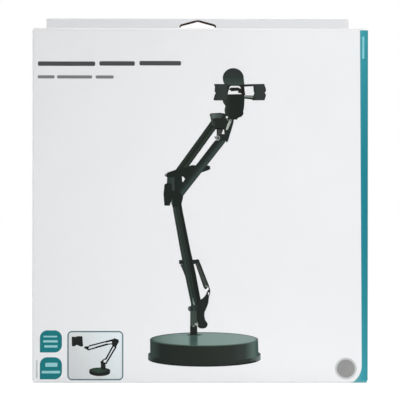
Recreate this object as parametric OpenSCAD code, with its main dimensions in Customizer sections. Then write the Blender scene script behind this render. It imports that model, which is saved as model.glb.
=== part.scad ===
// Closed retail carton for a desk phone holder, with a folded hang header at the back.
// It is one blank of corrugated board, folded and glued round its contents.
// Millimetres. X is the width, -Y is the printed front and +Z is up.
// The origin is at the centre of the footprint, on the floor.

/* [Carton] */
// Outside width, across the printed front
carton_w = 301; // [200:1:420]
// Outside depth, from the front panel to the back panel
carton_d = 70; // [45:1:160]
// Height from the floor to the top of the lid
carton_h = 318.2; // [200:0.1:460]

/* [Board] */
// Thickness of the corrugated board
board_t = 1.6; // [1:0.1:2.4]
// Inside radius of every fold
fold_r = 0.6; // [0.3:0.1:1.2]
// Setback of a flap's cut side edge from the carton's side
flap_inset = 1.2; // [0.4:0.1:2]

/* [Tucked closures] */
// Step from a tucked flap down to the cut edge of the panel in front of it
panel_drop = 2.4; // [0.6:0.1:3]
// Width of the slit between a tuck flap and its panel
tuck_gap = 0.3; // [0.2:0.1:0.8]
// Depth of that slit
tuck_depth = 4; // [3:0.5:12]

/* [Hang header] */
// Height of the header above the lid
header_h = 25.6; // [22:0.1:60]
// Space between the header's two layers
header_gap = 1.4; // [0.8:0.1:3]
// Radius of the header's two top corners
header_corner_r = 1.5; // [0.5:0.1:6]

/* [Hang hole] */
// Width of the hang hole
hole_w = 36; // [28:0.5:60]
// Height of the hang hole, from its lower edge to its peak
hole_h = 12; // [10:0.5:16]
// Board left above the hole's peak
hole_margin = 1.9; // [1.8:0.1:6]
// Slope of the hole's two upper edges, in degrees
hole_pitch = 15; // [8:1:20]
// Radius of the hole's peak
peak_r = 6; // [3:0.5:8]
// Radius of the hole's other four corners
hole_corner_r = 2.5; // [1.5:0.1:3]

/* [Hidden] */
$fn = 64;
eps = 0.01;
white_board = "#eef0f0";

half_w = carton_w / 2;
half_d = carton_d / 2;
fold_outer_r = fold_r + board_t;
flap_w = carton_w - 2 * flap_inset;

// Planes of the folded board
front_inner_y = -half_d + board_t;
back_inner_y = half_d - board_t;
header_t = 2 * board_t + header_gap;
header_front_y = half_d - header_t;
header_mid_y = half_d - header_t / 2;
header_top_z = carton_h + header_h;
header_fold_z = header_top_z - header_t / 2;

// Circles that round the hang hole, in the header's own plane
peak_z = header_top_z - hole_margin;
peak_centre_z = peak_z - peak_r;
hole_side_x = hole_w / 2 - hole_corner_r;
hole_sill_z = peak_z - hole_h;
hole_foot_z = hole_sill_z + hole_corner_r;
shoulder_z = peak_centre_z + (peak_r - hole_corner_r - hole_side_x * sin(hole_pitch)) / cos(hole_pitch);

// Block that spans x0 to x1, y0 to y1 and z0 to z1
module span_block(x, y, z) {
    translate([x[0], y[0], z[0]])
        cube([x[1] - x[0], y[1] - y[0], z[1] - z[0]]);
}

// Rod along X, centred on X = 0
module rod_x(r, len, y, z) {
    translate([-len / 2, y, z]) rotate([0, 90, 0]) cylinder(h = len, r = r);
}

// Rod along Y, from y0 to y1
module rod_y(r, y, x, z) {
    translate([x, y[1], z]) rotate([90, 0, 0]) cylinder(h = y[1] - y[0], r = r);
}

// What rounding an edge along X takes away. The edge is at [y, z], and side gives
// the outward direction on each axis.
module edge_cut_x(len, edge, side, r) {
    centre = edge - r * side;
    reach = r + eps;
    difference() {
        translate([-len / 2, min(centre[0], centre[0] + side[0] * reach),
                   min(centre[1], centre[1] + side[1] * reach)])
            cube([len, reach, reach]);
        rod_x(r, len + 2, centre[0], centre[1]);
    }
}

// The same for an edge along Y, at [x, z]
module edge_cut_y(y, edge, side, r) {
    centre = edge - r * side;
    reach = r + eps;
    difference() {
        translate([min(centre[0], centre[0] + side[0] * reach), y[0],
                   min(centre[1], centre[1] + side[1] * reach)])
            cube([reach, y[1] - y[0], reach]);
        rod_y(r, [y[0] - 1, y[1] + 1], centre[0], centre[1]);
    }
}

// The four upright walls as one filled ring: three folded corners, and at the back
// left the cut edge of the side panel beside the fold of the glued flap
module upright_walls(z) {
    inner_x = half_w - fold_outer_r;
    inner_y = half_d - fold_outer_r;
    seam_x = -half_w + board_t + fold_outer_r;
    span_block([-half_w, half_w], [-inner_y, inner_y], z);
    span_block([-inner_x, inner_x], [-half_d, 0], z);
    span_block([seam_x, inner_x], [0, half_d], z);
    for (corner = [[-inner_x, -inner_y], [inner_x, -inner_y], [inner_x, inner_y],
                   [seam_x, inner_y]])
        translate([corner[0], corner[1], z[0]])
            cylinder(h = z[1] - z[0], r = fold_outer_r);
}

// The carton between its lid and its bottom, with the side panels folded over
// at both ends into the dust flaps
module body_block() {
    low = board_t;
    high = carton_h - board_t;
    run = [-half_d - 1, half_d + 1];
    difference() {
        upright_walls([low, high]);
        for (side = [-1, 1]) {
            edge_cut_y(run, [side * half_w, high], [side, 1], fold_outer_r);
            edge_cut_y(run, [side * half_w, low], [side, -1], fold_outer_r);
        }
        // Steps above the front panel and below the back panel
        span_block([-half_w - 1, half_w + 1], [-half_d - 1, front_inner_y],
                   [carton_h - panel_drop, carton_h]);
        span_block([-half_w - 1, half_w + 1], [back_inner_y, half_d + 1], [0, panel_drop]);
    }
}

// Front panel, from its bottom fold to its cut top edge
module front_panel() {
    intersection() {
        upright_walls([fold_outer_r, carton_h - panel_drop]);
        span_block([-half_w, half_w], [-half_d, front_inner_y], [0, carton_h]);
    }
}

// Back panel, from its cut bottom edge to the foot of the header
module back_panel() {
    intersection() {
        upright_walls([panel_drop, carton_h]);
        span_block([-half_w, half_w], [back_inner_y, half_d], [0, carton_h]);
    }
}

// Bottom flap: folds back from the front panel and tucks in at the back panel
module bottom_flap() {
    tuck_y = back_inner_y - tuck_gap;
    difference() {
        span_block([-flap_w / 2, flap_w / 2], [-half_d, tuck_y], [0, fold_outer_r + eps]);
        edge_cut_x(carton_w, [-half_d, 0], [-1, -1], fold_outer_r);
        edge_cut_x(carton_w, [tuck_y, 0], [1, -1], fold_outer_r);
    }
}

// Lid: folds forward from the header's front layer and tucks in behind the front panel
module lid() {
    tuck_y = front_inner_y + tuck_gap;
    low = carton_h - fold_outer_r - eps;
    difference() {
        span_block([-flap_w / 2, flap_w / 2], [tuck_y, header_front_y + board_t],
                   [low, carton_h]);
        edge_cut_x(carton_w, [tuck_y, carton_h], [-1, 1], fold_outer_r);
    }
    // Inside of the fold between the lid and the header
    difference() {
        span_block([-flap_w / 2, flap_w / 2], [header_front_y - fold_r, header_front_y + eps],
                   [carton_h - eps, carton_h + fold_r]);
        rod_x(fold_r, carton_w, header_front_y - fold_r, carton_h + fold_r);
    }
}

// Hang header: the back panel runs up, folds over at the top and comes down again
module header() {
    foot_z = carton_h - board_t;
    difference() {
        union() {
            span_block([-flap_w / 2, flap_w / 2], [header_front_y, half_d],
                       [foot_z, header_fold_z]);
            rod_x(header_t / 2, flap_w, header_mid_y, header_fold_z);
        }
        // Space between the two layers, open at both sides
        span_block([-half_w, half_w], [header_front_y + board_t, back_inner_y],
                   [foot_z, header_fold_z]);
        rod_x(header_gap / 2, carton_w, header_mid_y, header_fold_z);
        for (side = [-1, 1])
            edge_cut_y([header_front_y - 1, half_d + 1],
                       [side * flap_w / 2, header_top_z], [side, 1], header_corner_r);
    }
}

// Hang hole through both layers: a flat sill, upright ends and a low peaked top
module hang_hole() {
    run = [header_front_y - 1, half_d + 1];
    slope = [sin(hole_pitch), cos(hole_pitch)];
    right_edge = [
        [peak_r * slope[0], peak_centre_z + peak_r * slope[1]],
        [hole_side_x + hole_corner_r * slope[0], shoulder_z + hole_corner_r * slope[1]],
        [hole_w / 2, shoulder_z],
        [hole_w / 2, hole_foot_z],
        [hole_side_x, hole_sill_z],
    ];
    left_edge = [for (i = [len(right_edge) - 1 : -1 : 0]) [-right_edge[i][0], right_edge[i][1]]];
    translate([0, run[1], 0]) rotate([90, 0, 0])
        linear_extrude(run[1] - run[0]) polygon(concat(right_edge, left_edge));
    rod_y(peak_r, run, 0, peak_centre_z);
    for (side = [-1, 1], z = [shoulder_z, hole_foot_z])
        rod_y(hole_corner_r, run, side * hole_side_x, z);
}

// Slits where the two tuck flaps go in behind their panels
module tuck_slits() {
    span_block([-flap_w / 2, flap_w / 2], [front_inner_y, front_inner_y + tuck_gap],
               [carton_h - tuck_depth, carton_h + 1]);
    span_block([-flap_w / 2, flap_w / 2], [back_inner_y - tuck_gap, back_inner_y],
               [-1, tuck_depth]);
}

module carton() {
    color(white_board) difference() {
        union() {
            body_block();
            front_panel();
            back_panel();
            bottom_flap();
            lid();
            header();
        }
        hang_hole();
        tuck_slits();
    }
}

carton();
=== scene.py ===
"""Looks for a closed white retail carton with a folded hang header and a printed front.

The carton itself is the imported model, left as it is. This script gives it coated white
board with kraft cut edges, and lays the print on its front panel as thin films of ink.
Lengths are in millimetres, and are turned into metres where they reach Blender.
"""
import math

import bmesh
import bpy
from mathutils import Matrix, Vector
from mathutils.geometry import tessellate_polygon


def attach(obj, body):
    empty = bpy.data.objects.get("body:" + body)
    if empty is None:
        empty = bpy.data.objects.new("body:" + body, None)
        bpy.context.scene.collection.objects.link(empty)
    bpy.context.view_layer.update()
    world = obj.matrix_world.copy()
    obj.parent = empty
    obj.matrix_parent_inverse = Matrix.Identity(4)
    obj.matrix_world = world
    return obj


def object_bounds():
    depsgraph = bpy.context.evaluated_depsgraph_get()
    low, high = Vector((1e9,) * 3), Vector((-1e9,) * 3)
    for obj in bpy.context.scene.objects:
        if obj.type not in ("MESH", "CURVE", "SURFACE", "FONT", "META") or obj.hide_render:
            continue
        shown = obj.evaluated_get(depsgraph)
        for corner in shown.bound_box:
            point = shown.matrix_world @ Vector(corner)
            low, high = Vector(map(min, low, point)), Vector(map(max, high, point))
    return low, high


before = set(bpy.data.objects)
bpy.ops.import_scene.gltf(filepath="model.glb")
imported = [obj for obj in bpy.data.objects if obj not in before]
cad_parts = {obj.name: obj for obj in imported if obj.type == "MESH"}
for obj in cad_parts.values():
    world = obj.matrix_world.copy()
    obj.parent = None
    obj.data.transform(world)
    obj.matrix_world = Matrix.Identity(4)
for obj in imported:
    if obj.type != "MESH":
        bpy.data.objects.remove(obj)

cad_low, cad_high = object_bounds()
MM = 0.001

# The carton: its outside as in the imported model, and its other sizes as in the part's source
HALF_W = cad_high.x / MM
HALF_D = cad_high.y / MM
TOP_Z = cad_high.z / MM
CARTON_H = 318.2
BOARD_T = 1.6
FLUTE_PITCH = 3.2
FLAP_INSET = 1.2
PANEL_DROP = 2.4
TUCK_GAP = 0.3
HEADER_T = 4.6
HEADER_Y = HALF_D - HEADER_T

# A fold: its outside radius, and the length of the board's outside round its quarter turn
FOLD_R = 2.2
FOLD_RUN = FOLD_R * math.pi / 2

# The upper edge of the hang hole: a round peak and two round shoulders
HOLE_MARGIN = 1.9
HOLE_PITCH = 15.0
HOLE_HALF_W = 18.0
PEAK_R = 6.0
PEAK_CENTRE_Z = TOP_Z - HOLE_MARGIN - PEAK_R
SHOULDER_R = 2.5
SHOULDER_X = HOLE_HALF_W - SHOULDER_R
SHOULDER_Z = 335.37

# Films of ink: their thickness, the steps in which one bends round a fold, and their finish
FILM_T = 0.03
FOLD_STEPS = 8
INK_ROUGHNESS = 0.5
INK_GLOSS = 0.04
INK_UNEVENNESS = 0.05

# Colours, as sRGB levels from 0 to 255
WHITE_BOARD = (238, 239, 241)
# Painted highlight for the lid's front folds
CREST_HIGHLIGHT = (253, 253, 254)
KRAFT = (128, 102, 84)
KRAFT_SHADOW = (52, 38, 32)
BADGE_TEAL = (34, 124, 130)
HEADING_GREY = (78, 80, 81)
TEXT_GREY = (128, 130, 131)
# Painted shade along the top of the hang hole
HOLE_EDGE_SHADE = (70, 54, 46)


def srgb(levels):
    """Linear colour of an sRGB colour given in levels from 0 to 255."""
    shares = [level / 255 for level in levels]
    linear = [s / 12.92 if s <= 0.04045 else ((s + 0.055) / 1.055) ** 2.4 for s in shares]
    return (*linear, 1.0)


class Nodes:
    """Short calls that add nodes to one new material."""

    def __init__(self, name):
        self.material = bpy.data.materials.new(name)
        self.material.use_nodes = True
        self.tree = self.material.node_tree
        self.shader = self.tree.nodes["Principled BSDF"]

    def add(self, kind, **settings):
        node = self.tree.nodes.new(kind)
        for setting, value in settings.items():
            setattr(node, setting, value)
        return node

    def feed(self, socket, value):
        """Links value to socket if it is an output, and else sets it there."""
        if isinstance(value, bpy.types.NodeSocket):
            self.tree.links.new(value, socket)
        else:
            socket.default_value = value

    def math(self, operation, *values):
        node = self.add("ShaderNodeMath", operation=operation)
        for socket, value in zip(node.inputs, values):
            self.feed(socket, value)
        return node.outputs[0]

    def vector(self, operation, *values):
        node = self.add("ShaderNodeVectorMath", operation=operation)
        for socket, value in zip(node.inputs, values):
            self.feed(socket, value)
        return node.outputs["Value" if operation == "DOT_PRODUCT" else "Vector"]

    def split(self, value):
        node = self.add("ShaderNodeSeparateXYZ")
        self.feed(node.inputs[0], value)
        return list(node.outputs)

    def point(self):
        """Place on the object, in millimetres."""
        place = self.add("ShaderNodeTexCoord").outputs["Object"]
        return self.vector("MULTIPLY", place, (1 / MM,) * 3)

    def noise(self, point, grain, detail=2.0):
        """Noise from 0 to 1, with lumps about grain millimetres across."""
        node = self.add("ShaderNodeTexNoise")
        self.feed(node.inputs["Vector"], point)
        self.feed(node.inputs["Scale"], 1 / grain)
        self.feed(node.inputs["Detail"], detail)
        return node.outputs["Fac"]

    def mix(self, share, first, second):
        node = self.add("ShaderNodeMix", data_type="RGBA")
        self.feed(node.inputs["Factor"], share)
        self.feed(node.inputs["A"], first)
        self.feed(node.inputs["B"], second)
        return node.outputs["Result"]

    def ramp(self, share, stops):
        """Colour along a list of (share, sRGB levels)."""
        node = self.add("ShaderNodeValToRGB")
        elements = node.color_ramp.elements
        while len(elements) < len(stops):
            elements.new(1.0)
        for element, (at, levels) in zip(elements, stops):
            element.position = at
            element.color = srgb(levels)
        self.feed(node.inputs["Fac"], share)
        return node.outputs["Color"]

    def around(self, value, middle, swing):
        """A value from 0 to 1 turned into middle plus or minus swing."""
        return self.math("MULTIPLY_ADD", value, 2 * swing, middle - swing)

    def bump(self, height, depth, below=None):
        """Normal of a relief that is depth millimetres deep."""
        node = self.add("ShaderNodeBump")
        self.feed(node.inputs["Strength"], 1.0)
        self.feed(node.inputs["Distance"], depth * MM)
        self.feed(node.inputs["Height"], height)
        if below is not None:
            self.feed(node.inputs["Normal"], below)
        return node.outputs["Normal"]


def board_relief(nodes, point):
    """Relief of coated board: paper grain over the faint washboard of its upright flutes."""
    flute_depth = 0.0015
    grain_depth = 0.004
    along_x = nodes.split(point)[0]
    turn = nodes.math("MULTIPLY", along_x, 2 * math.pi / FLUTE_PITCH)
    washboard = nodes.math("MULTIPLY_ADD", nodes.math("SINE", turn), 0.5, 0.5)
    flutes = nodes.bump(washboard, flute_depth)
    return nodes.bump(nodes.noise(point, grain=0.9, detail=4.0), grain_depth, flutes)


def ink_finish(nodes, point, colour, roughness=INK_ROUGHNESS, gloss=INK_GLOSS):
    """Gives a film of ink its colour, with the small unevenness of a printed solid."""
    mottle = nodes.noise(point, grain=1.6, detail=3.0)
    uneven = nodes.vector("SCALE", colour)
    nodes.feed(uneven.node.inputs["Scale"], nodes.around(mottle, 1.0, INK_UNEVENNESS))
    nodes.feed(nodes.shader.inputs["Base Color"], uneven)
    uneven_roughness = nodes.around(mottle, roughness, INK_UNEVENNESS)
    nodes.feed(nodes.shader.inputs["Roughness"], uneven_roughness)
    nodes.feed(nodes.shader.inputs["Specular IOR Level"], gloss)
    nodes.feed(nodes.shader.inputs["Normal"], board_relief(nodes, point))


def ink(name, levels, roughness=INK_ROUGHNESS, gloss=INK_GLOSS):
    """One solid ink, a little deeper in clouds."""
    cloud_shade = 0.97
    nodes = Nodes(name)
    point = nodes.point()
    cloud = nodes.noise(point, grain=9.0)
    deeper = tuple(level * cloud_shade for level in levels)
    colour = nodes.ramp(cloud, [(0.3, deeper), (0.7, levels)])
    ink_finish(nodes, point, colour, roughness, gloss)
    return nodes.material


def shaded_ink(name, start, end, stops):
    """Ink whose colour changes along the line from start to end, points (x, z) on the panel."""
    nodes = Nodes(name)
    point = nodes.point()
    across = Vector((end[0] - start[0], 0, end[1] - start[1]))
    offset = nodes.vector("SUBTRACT", point, (start[0], 0, start[1]))
    share = nodes.vector("DOT_PRODUCT", offset, tuple(across / across.length_squared))
    ink_finish(nodes, point, nodes.ramp(share, stops))
    return nodes.material


def ink_across(name, left, right, stops):
    """Ink whose colour changes from x = left to x = right."""
    return shaded_ink(name, (left, 0), (right, 0), stops)


def tube_ink(name, top, foot, width, stops):
    """Ink whose colour changes across a tube, from its left side to its right side."""
    to_left = Vector((foot[1] - top[1], top[0] - foot[0])).normalized() * width / 2
    middle = Vector(top)
    return shaded_ink(name, tuple(middle + to_left), tuple(middle - to_left), stops)


# How far the box of a cut edge reaches past the edge's own plane
EDGE_ROOM = 0.1
# How far the lid's cut sides run up into the fold between lid and header
LID_FOLD_H = 0.5
# The cut sides of the header's layers: the foot of the back one, and the top of both
BACK_LAYER_FOOT_Z = CARTON_H - 1
LAYERS_TOP_Z = TOP_Z - HOLE_MARGIN + EDGE_ROOM

# Cut edges of the board. Each lies in a box given by its lowest and highest corner, with x
# counted outward from the middle, and faces along the axes that are 1. Its depth through the
# board is counted along an axis, from a start and with a sign, and the flutes show as waves
# where the cut crosses them.
CUT_EDGES = (
    {   # Top edge of the front panel
        "low": (0, -HALF_D - EDGE_ROOM, CARTON_H - PANEL_DROP - EDGE_ROOM),
        "high": (HALF_W, -HALF_D + BOARD_T + EDGE_ROOM, CARTON_H - PANEL_DROP + EDGE_ROOM),
        "faces": (0, 0, 1), "depth": (1, -HALF_D, 1), "waves": True,
    },
    {   # Bottom edge of the back panel
        "low": (0, HALF_D - BOARD_T - EDGE_ROOM, PANEL_DROP - EDGE_ROOM),
        "high": (HALF_W, HALF_D + EDGE_ROOM, PANEL_DROP + EDGE_ROOM),
        "faces": (0, 0, 1), "depth": (1, HALF_D, -1), "waves": True,
    },
    {   # Sides of the lid
        "low": (HALF_W - FLAP_INSET - EDGE_ROOM, -HALF_D, CARTON_H - BOARD_T),
        "high": (HALF_W - FLAP_INSET + EDGE_ROOM, HEADER_Y, CARTON_H + LID_FOLD_H),
        "faces": (1, 0, 0), "depth": (2, CARTON_H, -1), "waves": False,
    },
    {   # Sides of the bottom flap
        "low": (HALF_W - FLAP_INSET - EDGE_ROOM, -HALF_D, -EDGE_ROOM),
        "high": (HALF_W - FLAP_INSET + EDGE_ROOM, HALF_D, BOARD_T),
        "faces": (1, 0, 0), "depth": (2, 0, 1), "waves": False,
    },
    {   # Edge of the side panel beside the glued seam
        "low": (HALF_W - BOARD_T, HALF_D - FOLD_R - EDGE_ROOM, 0),
        "high": (HALF_W + EDGE_ROOM, HALF_D - FOLD_R + EDGE_ROOM, CARTON_H),
        "faces": (0, 1, 0), "depth": (0, -HALF_W, 1), "waves": False,
    },
    {   # Front layer at the sides of the header and in the hang hole
        "low": (0, HEADER_Y - EDGE_ROOM, CARTON_H),
        "high": (HALF_W, HEADER_Y + BOARD_T + EDGE_ROOM, LAYERS_TOP_Z),
        "faces": (1, 0, 1), "depth": (1, HEADER_Y, 1), "waves": True,
    },
    {   # Back layer in the same places
        "low": (0, HALF_D - BOARD_T - EDGE_ROOM, BACK_LAYER_FOOT_Z),
        "high": (HALF_W, HALF_D + EDGE_ROOM, LAYERS_TOP_Z),
        "faces": (1, 0, 1), "depth": (1, HALF_D, -1), "waves": True,
    },
)


def cut_edge_masks(nodes, point):
    """Where the surface is a cut edge, how deep in the board, and whether waves show there."""
    x, y, z = nodes.split(point)
    outward = nodes.add("ShaderNodeCombineXYZ")
    for socket, value in zip(outward.inputs, (nodes.math("ABSOLUTE", x), y, z)):
        nodes.feed(socket, value)
    outward = outward.outputs[0]
    normal = nodes.vector("ABSOLUTE", nodes.add("ShaderNodeTexCoord").outputs["Normal"])
    least_facing = 0.5
    mask = depth = waves = 0.0
    for edge in CUT_EDGES:
        low, high = Vector(edge["low"]), Vector(edge["high"])
        offset = nodes.vector("SUBTRACT", outward, tuple((low + high) / 2))
        beyond = nodes.vector("SUBTRACT", nodes.vector("ABSOLUTE", offset), tuple((high - low) / 2))
        bx, by, bz = nodes.split(beyond)
        inside = nodes.math("LESS_THAN", nodes.math("MAXIMUM", nodes.math("MAXIMUM", bx, by), bz), 0.0)
        facing = nodes.vector("DOT_PRODUCT", normal, edge["faces"])
        here = nodes.math("MULTIPLY", inside, nodes.math("GREATER_THAN", facing, least_facing))
        axis, start, sign = edge["depth"]
        through = nodes.math("MULTIPLY_ADD", (x, y, z)[axis], float(sign), -sign * start)
        mask = nodes.math("MAXIMUM", mask, here)
        depth = nodes.math("MULTIPLY_ADD", here, through, depth)
        if edge["waves"]:
            waves = nodes.math("MAXIMUM", waves, here)
    return mask, depth, waves


def cut_edge_colour(nodes, point, depth, waves):
    """Kraft liners and fluted middle layer, with painted shade in the hollows between them."""
    liner_t = 0.28
    middle_t = 0.3
    turn = nodes.math("MULTIPLY", nodes.split(point)[0], 2 * math.pi / FLUTE_PITCH)
    crest = nodes.math("MULTIPLY", nodes.math("SINE", turn), BOARD_T / 2 - liner_t)
    centre = nodes.math("MULTIPLY_ADD", crest, waves, BOARD_T / 2)
    from_centre = nodes.math("ABSOLUTE", nodes.math("SUBTRACT", depth, centre))
    from_middle = nodes.math("ABSOLUTE", nodes.math("SUBTRACT", depth, BOARD_T / 2))
    middle = nodes.math("LESS_THAN", from_centre, middle_t)
    liner = nodes.math("GREATER_THAN", from_middle, BOARD_T / 2 - liner_t)
    paper = nodes.math("MAXIMUM", middle, liner)
    fibre = nodes.around(nodes.noise(point, grain=0.5, detail=4.0), middle=0.85, swing=0.15)
    # Painted shade in the hollows between the liners and the flutes
    return nodes.mix(nodes.math("MULTIPLY", paper, fibre), srgb(KRAFT_SHADOW), srgb(KRAFT))


def lid_crest_highlight_mask(nodes, point):
    """Where a highlight is painted on the board: the lid's front fold and the folds beside it, where they
    rise above the front panel.
    """
    _, y, z = nodes.split(point)
    fold_end = -HALF_D + BOARD_T + FOLD_R + TUCK_GAP
    ahead = nodes.math("LESS_THAN", y, fold_end)
    above = nodes.math("GREATER_THAN", z, CARTON_H - PANEL_DROP)
    return nodes.math("MULTIPLY", ahead, above)


def carton_board():
    """Coated white board with kraft cut edges. A highlight is painted on the folds at the lid's front."""
    gloss = 0.3
    shade_levels = 4
    satin_roughness = 0.46
    cut_roughness = 0.9
    nodes = Nodes("coated_board")
    nodes.feed(nodes.shader.inputs["Specular IOR Level"], gloss)
    point = nodes.point()
    cloud = nodes.noise(point, grain=45.0)
    fine = nodes.noise(point, grain=1.2, detail=3.0)
    clouds = nodes.around(cloud, middle=0.5, swing=0.35)
    tone = nodes.math("ADD", clouds, nodes.around(fine, middle=0.0, swing=0.3))
    shade = tuple(level - shade_levels for level in WHITE_BOARD)
    coat = nodes.mix(tone, srgb(shade), srgb(WHITE_BOARD))
    # Painted highlight on the lid's front folds
    coat = nodes.mix(lid_crest_highlight_mask(nodes, point), coat, srgb(CREST_HIGHLIGHT))
    mask, depth, waves = cut_edge_masks(nodes, point)
    edge = cut_edge_colour(nodes, point, depth, waves)
    nodes.feed(nodes.shader.inputs["Base Color"], nodes.mix(mask, coat, edge))
    satin = nodes.around(fine, satin_roughness, swing=0.05)
    rough = nodes.math("MAXIMUM", satin, nodes.math("MULTIPLY", mask, cut_roughness))
    nodes.feed(nodes.shader.inputs["Roughness"], rough)
    nodes.feed(nodes.shader.inputs["Normal"], board_relief(nodes, point))
    return nodes.material


def arc(centre, radius, start, end, steps=16, squash=1.0):
    """Points of an arc from start to end, in degrees anticlockwise from +X."""
    turns = [math.radians(start + (end - start) * i / steps) for i in range(steps + 1)]
    return [
        (centre[0] + radius * math.cos(t), centre[1] + radius * squash * math.sin(t)) for t in turns
    ]


def disc(centre, radius, squash=1.0, steps=72):
    """Points of a whole circle or ellipse."""
    return arc(centre, radius, 0, 360, steps, squash)[:-1]


def bar(start, end, width):
    """Corners of a straight bar along a line."""
    a, b = Vector(start), Vector(end)
    side = (b - a).orthogonal().normalized() * width / 2
    return [tuple(a + side), tuple(a - side), tuple(b - side), tuple(b + side)]


def rounded(corners, radius, steps=5):
    """A polygon with its corners rounded. A corner may give its own radius as a third number."""
    most_of_side = 0.48
    nearly_straight = math.radians(88)
    points = []
    for i, corner in enumerate(corners):
        here = Vector(corner[:2])
        back = Vector(corners[i - 1][:2]) - here
        ahead = Vector(corners[(i + 1) % len(corners)][:2]) - here
        wanted = corner[2] if len(corner) == 3 else radius
        half = back.angle(ahead) / 2
        if wanted <= 0 or half > nearly_straight:
            points.append(tuple(here))
            continue
        cut = min(wanted / math.tan(half), most_of_side * back.length, most_of_side * ahead.length)
        real = cut * math.tan(half)
        centre = here + (back.normalized() + ahead.normalized()).normalized() * real / math.sin(half)
        first = here + back.normalized() * cut - centre
        last = here + ahead.normalized() * cut - centre
        sweep = first.angle_signed(last)
        for k in range(steps + 1):
            turned = first.copy()
            turned.rotate(Matrix.Rotation(-sweep * k / steps, 2))
            points.append(tuple(centre + turned))
    return points


def box_outline(low, high):
    """Corners of an upright rectangle."""
    return [low, (high[0], low[1]), high, (low[0], high[1])]


def on_front(x, z, height):
    """Place of a point of the front panel, at a height above the board."""
    return Vector((x, -HALF_D - height, z)) * MM


def on_header(x, z, height):
    """Place of a point of the header's front layer, at a height above the board."""
    return Vector((x, HEADER_Y - height, z)) * MM


def on_back_layer(x, z, height):
    """Place of a point of the header's back layer, on the face seen through the hang hole."""
    return Vector((x, HALF_D - BOARD_T - height, z)) * MM


def round_side_fold(x, z, height):
    """Place of a point of the front panel, where its print goes on round the right fold."""
    past = x - (HALF_W - FOLD_R)
    turn = min(max(past, 0) / FOLD_R, math.pi / 2)
    beyond = max(past - FOLD_RUN, 0)
    if past <= 0:
        return on_front(x, z, height)
    out = FOLD_R + height
    return Vector((HALF_W - FOLD_R + out * math.sin(turn),
                   -HALF_D + FOLD_R - out * math.cos(turn) + beyond, z)) * MM


def round_bottom_fold(x, z, height):
    """Place of a point of the front panel, where its print goes on round the bottom fold."""
    past = FOLD_R - z
    turn = min(max(past, 0) / FOLD_R, math.pi / 2)
    beyond = max(past - FOLD_RUN, 0)
    if past <= 0:
        return on_front(x, z, height)
    out = FOLD_R + height
    return Vector((x, -HALF_D + FOLD_R - out * math.cos(turn) + beyond,
                   FOLD_R - out * math.sin(turn))) * MM


def film(name, loops, layer, paint, place=on_front, cuts=()):
    """A closed film of ink. loops are its outline and holes on the flat panel, layer counts the
    films from the board outward, and cuts are the lines along which it bends, each given by a
    point and the direction across it."""
    mesh = bmesh.new()
    flat = [[Vector((x, z, 0)) for x, z in loop] for loop in loops]
    low, high = (layer - 1) * FILM_T, layer * FILM_T
    rings = [
        [[mesh.verts.new((p.x, p.y, height)) for p in loop] for loop in flat]
        for height in (low, high)
    ]
    for ring in rings:
        verts = [v for loop in ring for v in loop]
        for corners in tessellate_polygon(flat):
            mesh.faces.new([verts[i] for i in corners])
    for below, above in zip(*rings):
        for i in range(len(below)):
            mesh.faces.new((below[i - 1], below[i], above[i], above[i - 1]))
    bmesh.ops.recalc_face_normals(mesh, faces=mesh.faces)
    for point, direction in cuts:
        geometry = [*mesh.verts, *mesh.edges, *mesh.faces]
        bmesh.ops.bisect_plane(mesh, geom=geometry, dist=1e-6, plane_co=point, plane_no=direction)
    for vert in mesh.verts:
        vert.co = place(*vert.co)
    bmesh.ops.recalc_face_normals(mesh, faces=mesh.faces)
    data = bpy.data.meshes.new(name)
    mesh.to_mesh(data)
    mesh.free()
    piece = bpy.data.objects.new(name, data)
    bpy.context.scene.collection.objects.link(piece)
    data.materials.append(paint)
    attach(piece, "root")
    return piece


def paint_hole_edge_shade():
    """Painted shade along the top of the hang hole, on both layers: the darkness of the hole's cut edge,
    seen from below in shadow.
    """
    def edge(grown):
        right = arc((SHOULDER_X, SHOULDER_Z), SHOULDER_R + grown, 0, 90 - HOLE_PITCH, 8)
        peak = arc((0, PEAK_CENTRE_Z), PEAK_R + grown, 90 - HOLE_PITCH, 90 + HOLE_PITCH, 12)
        left = arc((-SHOULDER_X, SHOULDER_Z), SHOULDER_R + grown, 90 + HOLE_PITCH, 180, 8)
        return right + peak + left

    def band(past_edge, into_hole):
        return edge(past_edge) + edge(-into_hole)[::-1]

    # Dark films of painted shade, in place of the shaded underside of the hole's cut edge
    paint = ink("hole_edge_shade_paint", HOLE_EDGE_SHADE)
    film("edge_of_hang_hole", [band(0.15, 0.4)], 1, paint, on_header)
    film("inner_edge_of_hang_hole", [band(0.4, 1.1)], 1, paint, on_back_layer)


# Layout of the print, as (x, z) on the panel: x from the carton's middle, z above the floor
STRIP_TOP_X = 142.7
PANEL_CORNER = (126.4, 15.7)
PANEL_CORNER_R = 18.2
STRIP_WRAP = 2.5
TOE_WRAP = 1.0


def strip_ink(name):
    """Teal that changes across the strip, with painted light making it paler towards the strip's two ends.
    """
    roughness = 0.6
    nodes = Nodes(name)
    point = nodes.point()
    x, _, z = nodes.split(point)
    across = nodes.math("DIVIDE", nodes.math("SUBTRACT", x, STRIP_TOP_X), HALF_W - STRIP_TOP_X)
    from_middle = nodes.math("MULTIPLY_ADD", z, 2 / CARTON_H, -1.0)
    ends = nodes.math("MULTIPLY", from_middle, from_middle)
    at_middle = nodes.ramp(across, [
        (0.0, (72, 142, 154)), (0.2, (37, 134, 150)), (0.6, (36, 133, 147)), (1.0, (42, 124, 134)),
    ])
    # Paler teal painted at the strip's ends, as light falling there
    lit_at_ends = nodes.ramp(across, [
        (0.0, (92, 162, 172)), (0.2, (64, 159, 172)), (0.6, (63, 157, 169)), (1.0, (62, 146, 154)),
    ])
    ink_finish(nodes, point, nodes.mix(ends, at_middle, lit_at_ends), roughness)
    return nodes.material


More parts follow.
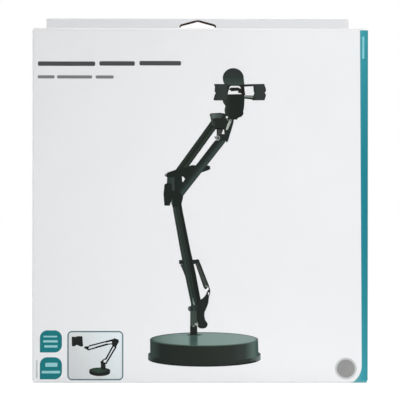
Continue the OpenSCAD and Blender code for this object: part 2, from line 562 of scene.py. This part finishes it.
def print_strip():
    """Teal strip down the right edge, which goes on round the right and the bottom fold."""
    corner_steps = 12
    top = CARTON_H - PANEL_DROP
    side_end = HALF_W - FOLD_R + FOLD_RUN + STRIP_WRAP
    toe_end = FOLD_R - FOLD_RUN - TOE_WRAP
    meet = math.degrees(math.asin((FOLD_R - PANEL_CORNER[1]) / PANEL_CORNER_R))
    lowest = math.degrees(math.asin(max((toe_end - PANEL_CORNER[1]) / PANEL_CORNER_R, -1)))
    outline = [(side_end, top), (STRIP_TOP_X, top)]
    outline += arc(PANEL_CORNER, PANEL_CORNER_R, 0, meet, corner_steps)
    outline += [(side_end, FOLD_R)]
    toe = arc(PANEL_CORNER, PANEL_CORNER_R, meet, lowest, corner_steps)
    toe += [(HALF_W - FLAP_INSET, toe_end), (HALF_W - FLAP_INSET, FOLD_R)]
    bends = [FOLD_RUN * i / FOLD_STEPS for i in range(FOLD_STEPS + 1)]
    side_cuts = [((HALF_W - FOLD_R + bend, 0, 0), (1, 0, 0)) for bend in bends]
    toe_cuts = [((0, FOLD_R - bend, 0), (0, 1, 0)) for bend in bends]
    bar_outline = rounded(box_outline((144.8, 290.3), (146.6, 310.2)), 0.5)
    film("print_strip", [outline], 1, strip_ink("teal_strip_ink"), round_side_fold, side_cuts)
    # The toe lies on the third layer, as board showed through it on the first
    # Paler teal on the bottom fold: painted light from the floor below
    paint = ink("teal_toe_lit_ink", (106, 182, 189), roughness=0.9, gloss=0.0)
    film("print_strip_toe", [toe], 3, paint, round_bottom_fold, toe_cuts)
    film("print_strip_bar", [bar_outline], 2, ink("strip_bar_ink", (138, 206, 216)))


def word_bars(name, spans, low_z, high_z, corner_r, paint, rise=0.0):
    """A row of plain bars in the places of words, each one set higher by rise than the last."""
    for i, (left, right) in enumerate(spans):
        outline = box_outline((left, low_z + rise * i), (right, high_z + rise * i))
        film(f"{name}_{i + 1}", [rounded(outline, corner_r)], 1, paint)


def print_words():
    """Plain bars in the places of the heading, the line below it and a note at the left edge."""
    heading = ((-145.2, -94.1), (-90.4, -58.7), (-54.6, -17.4))
    word_bars("print_heading", heading, 283.3, 287.3, 1.2, ink("heading_ink", HEADING_GREY), 0.3)
    line = ((-145.4, -130.4), (-128.1, -96.8), (-93.7, -77.6))
    word_bars("print_line", line, 272.1, 274.9, 1.0, ink("line_ink", TEXT_GREY))
    small = ink("small_ink", (192, 194, 195))
    film("print_side_note", [rounded(box_outline((-146.4, 4.8), (-145.3, 20.6)), 0.3)], 1, small)


def print_badges():
    """Two teal badges with three round corners, and plain light bars in place of words."""
    teal = ink("badge_ink", BADGE_TEAL)
    light = ink("badge_bar_ink", (152, 208, 213))
    left, right, height = -143.2, -123.5, 19.7
    round_r = 6.6
    for i, base_z in enumerate((27.5, 3.5)):
        low, high = (left, base_z), (right, base_z + height)
        corners = [(*low, 0), (high[0], low[1], round_r), (*high, round_r), (low[0], high[1], round_r)]
        film(f"print_badge_{i + 1}", [rounded(corners, round_r, 10)], 1, teal)
    bars = (
        ((-139.9, 41.0), (-127.7, 42.4)), ((-140.2, 36.4), (-127.2, 38.4)),
        ((-139.2, 31.9), (-127.4, 33.9)), ((-138.3, 14.7), (-127.5, 18.3)),
        ((-141.5, 8.8), (-125.1, 11.1)),
    )
    for i, (low, high) in enumerate(bars):
        film(f"print_badge_bar_{i + 1}", [rounded(box_outline(low, high), 0.5)], 2, light)


def print_roundel():
    """Grey disc in a pale ring, near the lower right corner."""
    centre = (130.4, 13.0)
    ring = ink("roundel_ring_ink", (206, 208, 208))
    grey = ink("roundel_ink", (152, 152, 151))
    film("print_roundel_ring", [disc(centre, 9.8)], 1, ring)
    film("print_roundel", [disc(centre, 8.1)], 2, grey)


def print_inset():
    """Small framed picture: the holder again, with its arm folded out to the left."""
    low, high = (-118.7, 2.6), (-68.7, 46.7)
    line_w = 1.2
    corner_r = 4.2
    fill = shaded_ink(
        "inset_sky_ink", (low[0], 6), (high[0], 36),
        [(0.0, (207, 208, 211)), (0.35, (215, 218, 219)), (0.7, (222, 230, 232)),
         (1.0, (228, 237, 241))],
    )
    line = ink("inset_line_ink", (98, 124, 128))
    outer = rounded(box_outline(low, high), corner_r, 8)
    inner_low = (low[0] + line_w, low[1] + line_w)
    inner_high = (high[0] - line_w, high[1] - line_w)
    inner = rounded(box_outline(inner_low, inner_high), corner_r - line_w, 8)
    film("print_inset_sky", [outer], 1, fill)
    film("print_inset_line", [outer, inner], 2, line)
    dark = ink("inset_dark_ink", (36, 39, 38))
    cradle = [(-114.8, 41.6), (-110.7, 41.4), (-110.1, 42.0), (-105.3, 42.0), (-104.6, 32.8),
              (-107.1, 32.8), (-110.3, 34.3), (-112.1, 33.0), (-114.6, 33.0)]
    head = [(-104.4, 31.7), (-102.2, 33.0), (-99.1, 33.0), (-100.2, 29.3), (-101.8, 30.5)]
    elbow = [(-78.9, 38.9), (-76.6, 40.2), (-73.0, 38.9), (-72.6, 37.0), (-75.5, 32.0),
             (-77.5, 32.5), (-78.9, 34.4)]
    fork = [(-82.7, 23.9), (-87.2, 20.9), (-89.4, 18.9), (-88.3, 15.8), (-85.3, 16.0), (-84.1, 18.2),
            (-86.1, 18.7), (-86.6, 19.7)]
    film("print_inset_cradle", [rounded(cradle, 0.6)], 2, dark)
    film("print_inset_head", [rounded(head, 0.3)], 2, dark)
    film("print_inset_elbow", [rounded(elbow, 0.6)], 3, dark)
    film("print_inset_fork", [rounded(fork, 0.4)], 3, dark)
    rods = (
        ((-99.5, 33.2), (-78.0, 38.8), 1.2), ((-100.2, 29.8), (-82.5, 34.8), 1.2),
        ((-83.6, 34.8), (-78.6, 35.2), 1.0), ((-84.5, 36.9), (-78.0, 38.4), 1.5),
        ((-93.3, 31.9), (-83.1, 34.9), 1.4), ((-77.7, 33.6), (-84.6, 21.0), 1.4),
        ((-75.2, 32.7), (-84.5, 17.1), 1.4),
    )
    for i, (start, end, width) in enumerate(rods):
        film(f"print_inset_rod_{i + 1}", [bar(start, end, width)], 2 if i < 3 else 3, dark)
    film("print_inset_post", [box_outline((-88.8, 12.4), (-84.5, 16.6))], 4, dark)
    plinth_x, plinth_z, plinth_r = -89.8, 10.4, 9.3
    foot_z = plinth_z - 0.9
    top_z = plinth_z + 1.2
    side = arc((plinth_x, foot_z), plinth_r, 180, 360, 24, squash=0.34)
    side += arc((plinth_x, top_z), plinth_r, 0, 180, 24, squash=0.26)
    film("print_inset_base", [side], 2, dark)
    lit = ink_across("inset_lit_ink", -99, -81,
                     [(0.0, (46, 54, 48)), (0.45, (54, 74, 62)), (1.0, (38, 44, 40))])
    film("print_inset_base_top", [disc((plinth_x, top_z), 8.7, squash=0.25)], 3, lit)


# The pictured holder's base: an upright disc with a lip, seen from slightly above
BASE_TOP = (3.4, 39.1)
BASE_TOP_R = 48.3
BASE_TOP_SQUASH = 0.133
BASE_TOP_SPAN = (BASE_TOP[0] - BASE_TOP_R, BASE_TOP[0] + BASE_TOP_R)
LIP = (3.7, 21.6)
LIP_R = 50.4
LIP_SQUASH = 0.137
LIP_SPAN = (LIP[0] - LIP_R, LIP[0] + LIP_R)
BASE_TOP_LEVELS = (124, 146, 140)
MIRROR_LEVELS = (60, 79, 74)


def base_ring(name, shift, inset, squash, layer, paint):
    """Ellipse on the top of the pictured base, moved by shift, with a radius smaller by inset."""
    middle = (BASE_TOP[0] + shift[0], BASE_TOP[1] + shift[1])
    film(f"print_base_{name}", [disc(middle, BASE_TOP_R - inset, squash)], layer, paint)


def picture_base():
    """Heavy round base of the pictured holder, with its lip, rim and lit top."""
    wall = ink_across(
        "base_wall_ink", *BASE_TOP_SPAN,
        [(0.0, (58, 72, 68)), (0.035, (52, 64, 60)), (0.1, (34, 40, 37)), (0.4, (39, 44, 41)),
         (0.75, (45, 50, 47)), (0.88, (54, 62, 59)), (0.96, (88, 106, 101)), (1.0, (62, 80, 75))],
    )
    outline = arc(BASE_TOP, BASE_TOP_R, 0, 180, 40, BASE_TOP_SQUASH)
    outline += [(-44.8, 27.6), (-46.5, 26.4)]
    outline += arc(LIP, LIP_R, 180, 360, 48, LIP_SQUASH)
    outline += [(53.9, 26.6), (52.0, 27.8)]
    film("print_base_wall", [outline], 2, wall)
    lip = ink_across(
        "base_lip_ink", *LIP_SPAN,
        [(0.0, (92, 100, 98)), (0.03, (58, 66, 63)), (0.07, (34, 39, 36)), (0.5, (40, 45, 41)),
         (0.9, (46, 52, 49)), (0.97, (96, 106, 103)), (1.0, (128, 140, 138))],
    )
    lip_h = 4.4
    below = arc(LIP, LIP_R - 0.1, 180, 360, 48, LIP_SQUASH)
    above = arc((LIP[0], LIP[1] + lip_h), LIP_R - 0.4, 360, 180, 48, LIP_SQUASH)
    film("print_base_lip", [below + above], 3, lip)
    foot_h = 0.9
    below = arc(LIP, LIP_R - 0.2, 200, 340, 40, LIP_SQUASH)
    above = arc((LIP[0], LIP[1] + foot_h), LIP_R - 2.0, 340, 200, 40, LIP_SQUASH)
    film("print_base_foot", [below + above], 4, ink("base_foot_ink", (30, 36, 34)))
    rim = ink_across(
        "base_rim_ink", *BASE_TOP_SPAN,
        [(0.0, (70, 84, 78)), (0.3, (46, 60, 53)), (0.8, (56, 72, 65)), (1.0, (92, 108, 104))],
    )
    base_ring("rim", (0, 0), 0.3, BASE_TOP_SQUASH, 4, rim)
    turn = ink_across(
        "base_turn_ink", *BASE_TOP_SPAN,
        [(0.0, (80, 98, 92)), (0.3, (76, 94, 87)), (0.8, (88, 106, 99)), (1.0, (112, 128, 124))],
    )
    base_ring("turn", (0.3, 0.1), 1.5, 0.129, 5, turn)
    top = ink_across(
        "base_top_ink", *BASE_TOP_SPAN,
        [(0.0, (84, 106, 98)), (0.14, (112, 135, 128)), (0.26, BASE_TOP_LEVELS), (0.6, (130, 151, 145)),
         (1.0, (138, 154, 150))],
    )
    base_ring("top", (0.5, 0.3), 2.6, 0.122, 6, top)


def picture_post():
    """Post, clamp plate and bolts between the pictured base and arm, and the post's mirror image."""
    left, right = -10.9, -1.5
    fading_bands = ((42.9, 38.6, 1.0), (38.6, 36.2, 0.94), (36.2, 33.8, 0.85))
    for i, (high, low, share) in enumerate(fading_bands):
        core = tuple(share * m + (1 - share) * t for m, t in zip(MIRROR_LEVELS, BASE_TOP_LEVELS))
        mirror = ink_across(
            f"base_mirror_ink_{i + 1}", left, right,
            [(0.0, BASE_TOP_LEVELS), (0.3, core), (0.8, core), (1.0, BASE_TOP_LEVELS)],
        )
        film(f"print_base_mirror_{i + 1}", [box_outline((left, low), (right, high))], 7, mirror)
    shadow = disc((-5.2, 43.3), 7.4, squash=0.12)
    film("print_post_shadow", [shadow], 8, ink("post_shadow_ink", (92, 112, 105)))
    foot = disc((-5.6, 43.1), 5.6, squash=0.11)
    film("print_post_foot", [foot], 9, ink("post_foot_ink", (66, 82, 76)))
    film("print_post", [box_outline((-9.1, 42.9), (-2.7, 51.0))], 10, ink("post_ink", (32, 36, 34)))
    plate = ink_across(
        "plate_ink", -8.9, -2.6,
        [(0.0, (54, 62, 58)), (0.12, (64, 74, 69)), (0.85, (62, 72, 67)), (1.0, (46, 53, 49))],
    )
    film("print_plate", [box_outline((-9.0, 50.4), (-2.8, 64.6))], 6, plate)
    metal = ink("bolt_ink", (166, 176, 168))
    bolt = [(-5.2, 53.4), (-2.0, 53.7), (-1.9, 51.8), (-2.6, 51.2), (-4.8, 52.3)]
    film("print_bolt", [rounded(bolt, 0.4)], 11, metal)
    film("print_bolt_end", [disc((-6.0, 51.1), 0.9)], 11, ink("bolt_end_ink", (122, 130, 125)))
    knob = ink_across(
        "knob_ink", -11.0, -6.8,
        [(0.0, (126, 134, 130)), (0.35, (74, 80, 76)), (0.7, (36, 41, 38)), (1.0, (36, 41, 38))],
    )
    film("print_knob", [disc((-8.9, 66.6), 2.3)], 4, knob)


def picture_fork():
    """Dark sprung fork beside the foot of the pictured arm."""
    dark = ink_across("fork_ink", -2.5, 9,
                      [(0.0, (32, 37, 35)), (0.5, (38, 43, 41)), (1.0, (26, 31, 29))])
    outline = [(8.1, 84.2), (9.0, 82.2), (8.6, 79.6), (7.8, 77.3), (7.1, 71.3), (5.3, 66.7),
               (3.9, 63.6), (3.6, 60.4), (4.5, 56.4), (6.6, 53.2), (6.3, 51.1), (4.8, 49.4),
               (2.2, 48.8), (-0.5, 49.1), (-2.3, 50.4), (-2.9, 56.7), (-3.3, 64.0), (-0.6, 74.4),
               (0.9, 75.0), (2.6, 76.3), (4.8, 78.6), (6.8, 83.2)]
    notch = [(7.1, 81.3), (7.9, 81.5), (8.0, 79.9), (7.6, 78.5), (6.9, 79.3)]
    film("print_fork", [rounded(outline, 0.6), notch], 7, dark)


def picture_lower_arm():
    """Twin-tube lower arm of the pictured holder, with its springs."""
    tube = tube_ink(
        "lower_tube_ink", top=(-21.4, 160.5), foot=(-4.3, 72.0), width=8.5, stops=[
            (0.0, (42, 51, 47)), (0.25, (51, 61, 57)), (0.42, (36, 44, 40)),
            (0.55, (43, 52, 48)), (0.72, (28, 34, 31)), (1.0, (24, 30, 27)),
        ],
    )
    left_edge = [(-25.4, 160.5), (-24.4, 154.7), (-18.0, 118.9), (-12.1, 88.5), (-8.4, 71.3),
                 (-8.4, 64.0)]
    right_edge = [(-2.7, 64.0), (0.3, 75.0), (-2.3, 88.5), (-4.0, 97.6), (-8.8, 118.9),
                  (-16.0, 154.7), (-16.9, 160.5)]
    film("print_lower_arm", [left_edge + right_edge], 3, tube)
    spring = shaded_ink(
        "spring_ink", (-1.6, 97.5), (2.6, 99.3),
        [(0.0, (34, 38, 36)), (0.4, (66, 72, 69)), (0.7, (56, 62, 58)), (1.0, (34, 38, 36))],
    )
    right = [(-4.6, 107.0), (-0.9, 109.0), (0.5, 106.0), (7.8, 87.2), (5.7, 84.4), (4.1, 83.9),
             (2.9, 85.8)]
    left = [(-18.0, 106.0), (-14.0, 106.8), (-9.0, 88.0), (-12.1, 88.5), (-13.4, 95.1),
            (-15.7, 100.9)]
    film("print_spring_right", [rounded(right, 0.4)], 2, spring)
    film("print_spring_left", [rounded(left, 0.4)], 2, ink("spring_left_ink", (52, 60, 57)))
    hanger = ink("hanger_ink", (36, 42, 40))
    stub = [(-19.0, 110.1), (-15.4, 110.1), (-14.6, 106.4), (-19.0, 106.4)]
    arm = [(-7.6, 110.3), (-4.4, 110.4), (-2.2, 110.9), (-1.0, 109.9), (-0.7, 108.6), (-3.6, 106.9),
           (-5.7, 106.4), (-7.0, 106.4)]
    film("print_hanger_stub", [rounded(stub, 0.5)], 4, hanger)
    film("print_hanger", [rounded(arm, 0.5)], 4, hanger)
    glint = shaded_ink("glint_ink", (-7.0, 77.4), (-5.6, 70.0),
                       [(0.0, (66, 76, 72)), (0.5, (94, 110, 103)), (1.0, (150, 170, 160))])
    shine = [(-7.1, 76.7), (-6.4, 76.5), (-5.7, 73.7), (-4.9, 70.2), (-5.4, 69.5), (-6.5, 71.5),
             (-7.1, 74.2)]
    film("print_glint", [rounded(shine, 0.4)], 5, glint)
    eye = [(3.9, 86.6), (4.8, 87.4), (6.7, 87.2), (7.2, 86.0), (5.6, 86.2)]
    film("print_spring_eye", [rounded(eye, 0.4)], 3, ink("spring_eye_ink", (132, 138, 134)))
    film("print_spring_link", [bar((7.0, 87.6), (8.5, 83.0), 1.0)], 3, hanger)


def picture_elbow():
    """Elbow plates of the pictured holder."""
    dark = ink("elbow_ink", (30, 37, 33))
    outline = [(-30.9, 184.9), (-29.6, 188.2), (-22.7, 190.6), (-12.4, 192.9), (-9.9, 194.1),
               (-7.3, 194.9), (-3.6, 194.6), (7.0, 194.6), (8.7, 193.8), (8.8, 191.2), (7.0, 190.4),
               (-0.2, 187.8), (-6.0, 183.0), (-15.3, 168.7), (-15.6, 165.2), (-17.0, 159.8),
               (-16.5, 157.6), (-25.0, 157.6), (-25.4, 160.0), (-25.9, 163.0), (-27.4, 158.5),
               (-32.2, 158.7), (-33.0, 168.8), (-32.1, 177.7), (-30.0, 178.6), (-29.7, 184.1)]
    gap = [(-16.7, 185.6), (-13.7, 182.7), (-16.1, 178.8)]
    film("print_elbow", [rounded(outline, 0.6), rounded(gap, 0.5)], 5, dark)
    column = ink_across(
        "elbow_lit_ink", -28.7, -23.0,
        [(0.0, (44, 57, 53)), (0.5, (46, 60, 55)), (0.6, (54, 66, 62)), (1.0, (50, 61, 57))],
    )
    lit = [(-29.3, 183.9), (-23.2, 184.0), (-22.9, 172.1), (-25.4, 172.1), (-25.6, 178.3),
           (-29.3, 178.6)]
    film("print_elbow_lit", [rounded(lit, 0.4)], 6, column)
    film("print_elbow_tip", [disc((-30.6, 185.9), 1.4)], 4, ink("elbow_tip_ink", (132, 140, 136)))
    slit = bar((-25.5, 159.5), (-25.7, 164.0), 0.7)
    film("print_elbow_slit", [slit], 6, ink("elbow_slit_ink", (92, 102, 96)))


def picture_upper_arm():
    """The two parallel tubes of the pictured upper arm."""
    width = 7.7
    top, foot = (14.5, 234.7), (-19.5, 187.8)
    tube = tube_ink(
        "upper_tube_left_ink", top, foot, width, stops=[
            (0.0, (42, 47, 44)), (0.2, (44, 50, 46)), (0.5, (29, 35, 29)), (0.75, (48, 57, 50)),
            (1.0, (38, 44, 40)),
        ],
    )
    film("print_upper_arm_left", [bar(top, foot, width)], 4, tube)
    tube = tube_ink(
        "upper_tube_right_ink", top=(18.2, 216.4), foot=(-19.4, 169.0), width=width, stops=[
            (0.0, (30, 35, 32)), (0.35, (35, 42, 39)), (0.52, (44, 54, 51)), (0.7, (54, 66, 63)),
            (0.88, (58, 70, 67)), (1.0, (44, 54, 51)),
        ],
    )
    outline = [(13.1, 217.0), (22.3, 217.0), (22.3, 215.6), (-15.8, 166.9), (-17.6, 169.9),
               (-21.6, 172.0)]
    film("print_upper_arm_right", [outline], 6, tube)


def picture_neck():
    """Flared cap, neck, nut and rod below the pictured clip."""
    dark = ink("neck_ink", (36, 41, 38))
    cap = [(8.3, 240.5), (9.6, 241.2), (14.0, 241.5), (17.6, 241.7), (20.9, 241.2), (22.0, 240.5),
           (21.4, 226.8), (13.6, 226.8), (9.4, 231.6), (9.4, 234.7), (8.9, 237.6), (8.3, 239.6)]
    film("print_cap", [rounded(cap, 0.3)], 5, dark)
    lit = ink_across(
        "cap_lit_ink", 9.0, 21.2,
        [(0.0, (70, 82, 78)), (0.2, (92, 103, 99)), (0.42, (74, 86, 82)), (1.0, (50, 60, 56))],
    )
    shine = [(8.7, 240.4), (14.0, 241.0), (19.6, 240.6), (20.6, 239.7), (18.2, 236.9),
             (14.6, 237.1), (9.6, 236.3)]
    film("print_cap_lit", [rounded(shine, 0.8)], 6, lit)
    side = ink("cap_side_ink", (58, 68, 63))
    film("print_cap_side", [[(9.7, 236.4), (11.2, 236.5), (11.7, 229.4), (9.8, 231.6)]], 6, side)
    film("print_cap_crease", [bar((12.3, 233.9), (12.6, 230.0), 0.6)], 6, side)
    neck = ink_across(
        "neck_lit_ink", 14.5, 18.7,
        [(0.0, (34, 38, 36)), (0.4, (66, 69, 66)), (0.8, (64, 67, 64)), (1.0, (40, 44, 42))],
    )
    film("print_neck", [box_outline((14.5, 221.0), (18.8, 227.8))], 5, neck)
    link = [(18.6, 227.5), (18.6, 222.0), (16.2, 222.0), (16.6, 216.4), (22.4, 216.6), (23.6, 215.1),
            (24.7, 216.6), (26.2, 221.9), (28.4, 228.9), (29.5, 233.1), (29.5, 234.7), (31.1, 236.4),
            (29.5, 236.2), (27.2, 236.7), (22.3, 241.3), (21.0, 240.0), (21.0, 227.3), (21.5, 222.7),
            (18.9, 222.7), (20.3, 226.9)]
    film("print_link", [link], 7, ink("link_ink", (36, 42, 39)))
    rod = shaded_ink("rod_ink", (23.0, 230.2), (26.6, 229.0),
                     [(0.0, (146, 158, 148)), (0.3, (182, 194, 182)), (0.7, (152, 163, 154)),
                      (1.0, (124, 134, 128))])
    shape = [(25.25, 233.7), (23.7, 230.8), (22.7, 226.9), (23.5, 226.1), (24.5, 226.7), (26.0, 229.8),
             (27.6, 233.7), (27.8, 235.3), (26.4, 235.9)]
    film("print_rod", [rounded(shape, 0.4)], 8, rod)
    film("print_rod_eye", [disc((26.8, 234.7), 0.5)], 9, dark)
    film("print_neck_gap", [disc((23.6, 237.7), 1.0)], 8, ink("neck_gap_ink", (222, 226, 224)))
    tail = bar((23.7, 236.4), (24.9, 234.7), 0.6)
    film("print_neck_tail", [tail], 8, ink("neck_tail_ink", (120, 126, 122)))
    film("print_nut", [disc((15.3, 219.2), 2.2)], 8, ink("nut_ink", (140, 146, 142)))
    film("print_nut_eye", [disc((15.8, 219.2), 0.9)], 9, dark)
    film("print_nut_side", [disc((13.1, 219.8), 0.7)], 9, ink("nut_side_ink", (104, 110, 106)))


def picture_clip():
    """Spring clip of the pictured holder: a round back with two jaws on rails."""
    crown = arc((29.25, 272.7), 9.4, 0, 180, 30, squash=0.95)
    crown += [(20.2, 270.0), (21.3, 267.4), (23.0, 266.4), (38.8, 266.4), (39.2, 267.4)]
    crown_ink = shaded_ink("clip_crown_ink", (0, 282), (0, 267.4),
                           [(0.0, (46, 50, 49)), (0.6, (47, 56, 53)), (1.0, (60, 72, 67))])
    film("print_clip_crown", [crown], 5, crown_ink)
    frame_ink = ink_across(
        "clip_frame_ink", 23.9, 40.3,
        [(0.0, (38, 44, 40)), (0.3, (32, 36, 33)), (0.75, (32, 32, 28)), (1.0, (24, 20, 16))],
    )
    body = [(23.9, 266.7), (38.9, 266.7), (40.0, 257.4), (23.9, 257.4)]
    upper_slot = [(25.5, 263.4), (26.2, 265.1), (27.2, 265.8), (34.2, 265.8), (35.3, 265.1),
                  (36.3, 263.6), (35.2, 263.4), (34.0, 264.3), (26.9, 264.2), (26.0, 263.3)]
    lower_slot = [(24.3, 258.2), (25.2, 262.4), (26.4, 262.1), (27.5, 260.9), (33.5, 261.5),
                  (33.8, 259.7), (36.9, 259.0), (36.5, 258.4)]
    film("print_clip_frame", [rounded(body, 0.3), upper_slot, lower_slot], 7, frame_ink)
    block_ink = ink_across(
        "clip_block_ink", 21.5, 39.6,
        [(0.0, (48, 53, 48)), (0.3, (32, 36, 33)), (0.8, (31, 35, 32)), (0.97, (30, 42, 42))],
    )
    block = [(24.0, 257.5), (39.5, 257.5), (39.2, 250.5), (38.8, 245.6), (38.2, 243.0),
             (38.5, 240.7), (36.9, 238.4), (33.9, 237.3), (32.0, 235.3), (30.4, 236.2),
             (28.2, 236.3), (25.6, 237.3), (24.0, 239.3), (21.9, 240.9), (21.5, 244.6),
             (22.3, 247.9), (20.3, 250.6), (19.6, 253.5), (24.0, 253.6)]
    film("print_clip_block", [rounded(block, 0.4)], 8, block_ink)
    left_ink = ink_across(
        "jaw_left_ink", 12.5, 24.0,
        [(0.0, (42, 48, 46)), (0.15, (48, 55, 54)), (0.85, (52, 59, 56)), (1.0, (44, 50, 47))],
    )
    left = [(11.9, 267.4), (12.9, 265.1), (12.6, 260.8), (13.6, 259.3), (12.8, 257.8), (11.6, 253.8),
            (12.1, 252.7), (20.3, 252.8), (24.1, 252.8), (24.1, 267.4)]
    film("print_jaw_left", [rounded(left, 0.4)], 6, left_ink)
    right_ink = ink_across(
        "jaw_right_ink", 47.4, 58.5,
        [(0.0, (38, 44, 41)), (0.2, (50, 58, 55)), (0.8, (54, 57, 56)), (1.0, (42, 46, 44))],
    )
    right = [(47.1, 267.4), (47.6, 260.5), (48.2, 259.5), (47.3, 257.1), (46.4, 253.8), (46.3, 252.9),
             (57.3, 253.0), (57.8, 254.8), (58.5, 257.1), (58.2, 258.5), (57.3, 259.6), (58.2, 260.5),
             (58.7, 262.4), (57.8, 265.1), (57.0, 267.6)]
    film("print_jaw_right", [rounded(right, 0.4)], 6, right_ink)
    rail = ink("rail_ink", (30, 35, 33))
    film("print_rail_top", [[(38.6, 265.1), (38.6, 267.1), (47.4, 267.4), (47.4, 265.6)]], 5, rail)
    film("print_rail_low", [[(39.1, 254.5), (39.1, 255.6), (47.2, 255.0), (47.2, 253.5)]], 5, rail)
    lit = ink("rail_lit_ink", (124, 134, 128))
    film("print_rail_lit", [[(39.2, 255.6), (40.3, 257.5), (47.9, 257.1), (47.4, 255.0)]], 4, lit)


def sees_white(tree):
    """1 for the rays that see floor and world as white: the camera's, mirrored and refracted ones."""
    path = tree.nodes.new("ShaderNodeLightPath")
    seen = path.outputs["Is Camera Ray"]
    for name in ("Is Glossy Ray", "Is Transmission Ray"):
        either = tree.nodes.new("ShaderNodeMath")
        either.operation = "MAXIMUM"
        tree.links.new(seen, either.inputs[0])
        tree.links.new(path.outputs[name], either.inputs[1])
        seen = either.outputs[0]
    return seen


def make_floor():
    """Pale floor that shows white, with the carton's faint shadow."""
    half = 6.0
    paint = (0.88, 0.88, 0.88, 1)
    white_level = 1.25
    paint_share = 0.25
    data = bpy.data.meshes.new("floor")
    corners = [(-half, -half, 0), (half, -half, 0), (half, half, 0), (-half, half, 0)]
    data.from_pydata(corners, [], [(0, 1, 2, 3)])
    floor = bpy.data.objects.new("floor", data)
    bpy.context.scene.collection.objects.link(floor)
    material = bpy.data.materials.new("floor_paint")
    material.use_nodes = True
    tree = material.node_tree
    tree.nodes.clear()
    plain = tree.nodes.new("ShaderNodeBsdfDiffuse")
    plain.inputs["Color"].default_value = paint
    white = tree.nodes.new("ShaderNodeEmission")
    white.inputs["Strength"].default_value = white_level
    veil = tree.nodes.new("ShaderNodeMixShader")
    veil.inputs[0].default_value = paint_share
    tree.links.new(white.outputs[0], veil.inputs[1])
    tree.links.new(plain.outputs[0], veil.inputs[2])
    choice = tree.nodes.new("ShaderNodeMixShader")
    tree.links.new(sees_white(tree), choice.inputs[0])
    tree.links.new(plain.outputs[0], choice.inputs[1])
    tree.links.new(veil.outputs[0], choice.inputs[2])
    output = tree.nodes.new("ShaderNodeOutputMaterial")
    tree.links.new(choice.outputs[0], output.inputs["Surface"])
    data.materials.append(material)


def make_world(level):
    """Even light of a grey room that the camera sees as white."""
    world = bpy.data.worlds.new("studio")
    bpy.context.scene.world = world
    world.use_nodes = True
    tree = world.node_tree
    tree.nodes.clear()
    room = tree.nodes.new("ShaderNodeBackground")
    room.inputs["Color"].default_value = (1, 1, 1, 1)
    room.inputs["Strength"].default_value = level
    backdrop = tree.nodes.new("ShaderNodeBackground")
    backdrop.inputs["Color"].default_value = (1, 1, 1, 1)
    choice = tree.nodes.new("ShaderNodeMixShader")
    tree.links.new(sees_white(tree), choice.inputs[0])
    tree.links.new(room.outputs[0], choice.inputs[1])
    tree.links.new(backdrop.outputs[0], choice.inputs[2])
    output = tree.nodes.new("ShaderNodeOutputWorld")
    tree.links.new(choice.outputs[0], output.inputs["Surface"])


def soft_light(name, place, aim, size, power, spread=180):
    """Soft box that the camera doesn't see, at place and turned towards aim. Places and size are
    in metres, power is in watts and spread in degrees."""
    data = bpy.data.lights.new(name, "AREA")
    data.shape = "RECTANGLE"
    data.size, data.size_y = size
    data.energy = power
    data.spread = math.radians(spread)
    light = bpy.data.objects.new(name, data)
    light.location = place
    light.rotation_euler = (Vector(aim) - Vector(place)).to_track_quat("-Z", "Y").to_euler()
    light.visible_camera = False
    bpy.context.scene.collection.objects.link(light)


# The photograph's view of the front panel, in pixels, millimetres and degrees. The middle of
# the view is a point (x, z) of the front's plane.
PHOTO_PX = 400
PX_PER_MM = 1.119
CAMERA_X, CAMERA_Z = -26.3, 158.3
CAMERA_AWAY = 620.0
CAMERA_TURN, CAMERA_ROLL = -0.36, -0.06
VIEW_MIDDLE = (-0.35, 163.7)
SENSOR = 36.0


def make_camera():
    """Camera in front, a little left of the middle and turned by a fraction of a degree."""
    view_w = PHOTO_PX / PX_PER_MM
    data = bpy.data.cameras.new("camera")
    data.sensor_width = SENSOR
    data.lens = SENSOR * CAMERA_AWAY / view_w
    turned_aside = CAMERA_AWAY * math.tan(math.radians(-CAMERA_TURN))
    data.shift_x = (VIEW_MIDDLE[0] - CAMERA_X - turned_aside) / view_w
    data.shift_y = (VIEW_MIDDLE[1] - CAMERA_Z) / view_w
    camera = bpy.data.objects.new("camera", data)
    camera.location = Vector((CAMERA_X, -HALF_D - CAMERA_AWAY, CAMERA_Z)) * MM
    camera.rotation_euler = [math.radians(a) for a in (90, CAMERA_ROLL, CAMERA_TURN)]
    bpy.context.scene.collection.objects.link(camera)
    bpy.context.scene.camera = camera


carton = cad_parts["carton"]
carton.data.materials.clear()
carton.data.materials.append(carton_board())
paint_hole_edge_shade()
print_strip()
print_words()
print_badges()
print_roundel()
print_inset()
picture_base()
picture_post()
picture_fork()
picture_lower_arm()
picture_elbow()
picture_upper_arm()
picture_neck()
picture_clip()

make_floor()
make_world(level=0.29)
soft_light("key", place=(0.2, -0.92, 0.25), aim=(0.0, 0.0, 0.16), size=(1.1, 0.4), power=5.03)
# Two small fill lights near the front: at its foot, and at its upper right
soft_light("low", place=(0.05, -0.1, 0.01), aim=(0.05, -0.035, 0.01), size=(0.28, 0.015), power=0.0065)
soft_light("high", place=(0.12, -0.13, 0.34), aim=(0.12, -0.035, 0.34), size=(0.2, 0.04), power=0.009)
# Lights for the other sides
soft_light("left", place=(-1.0, 0.25, 0.35), aim=(-0.15, 0.0, 0.16), size=(0.5, 0.5), power=0.5, spread=60)
soft_light("right", place=(1.0, 0.25, 0.35), aim=(0.15, 0.0, 0.16), size=(0.5, 0.5), power=0.5, spread=60)
soft_light("back", place=(0.0, 1.1, 0.5), aim=(0.0, 0.03, 0.16), size=(1.0, 0.5), power=0.6, spread=60)
soft_light("top", place=(0.0, -0.02, 1.2), aim=(0.0, -0.02, 0.32), size=(0.8, 0.4), power=0.45, spread=60)
make_camera()
bpy.context.scene.view_settings.view_transform = "Standard"
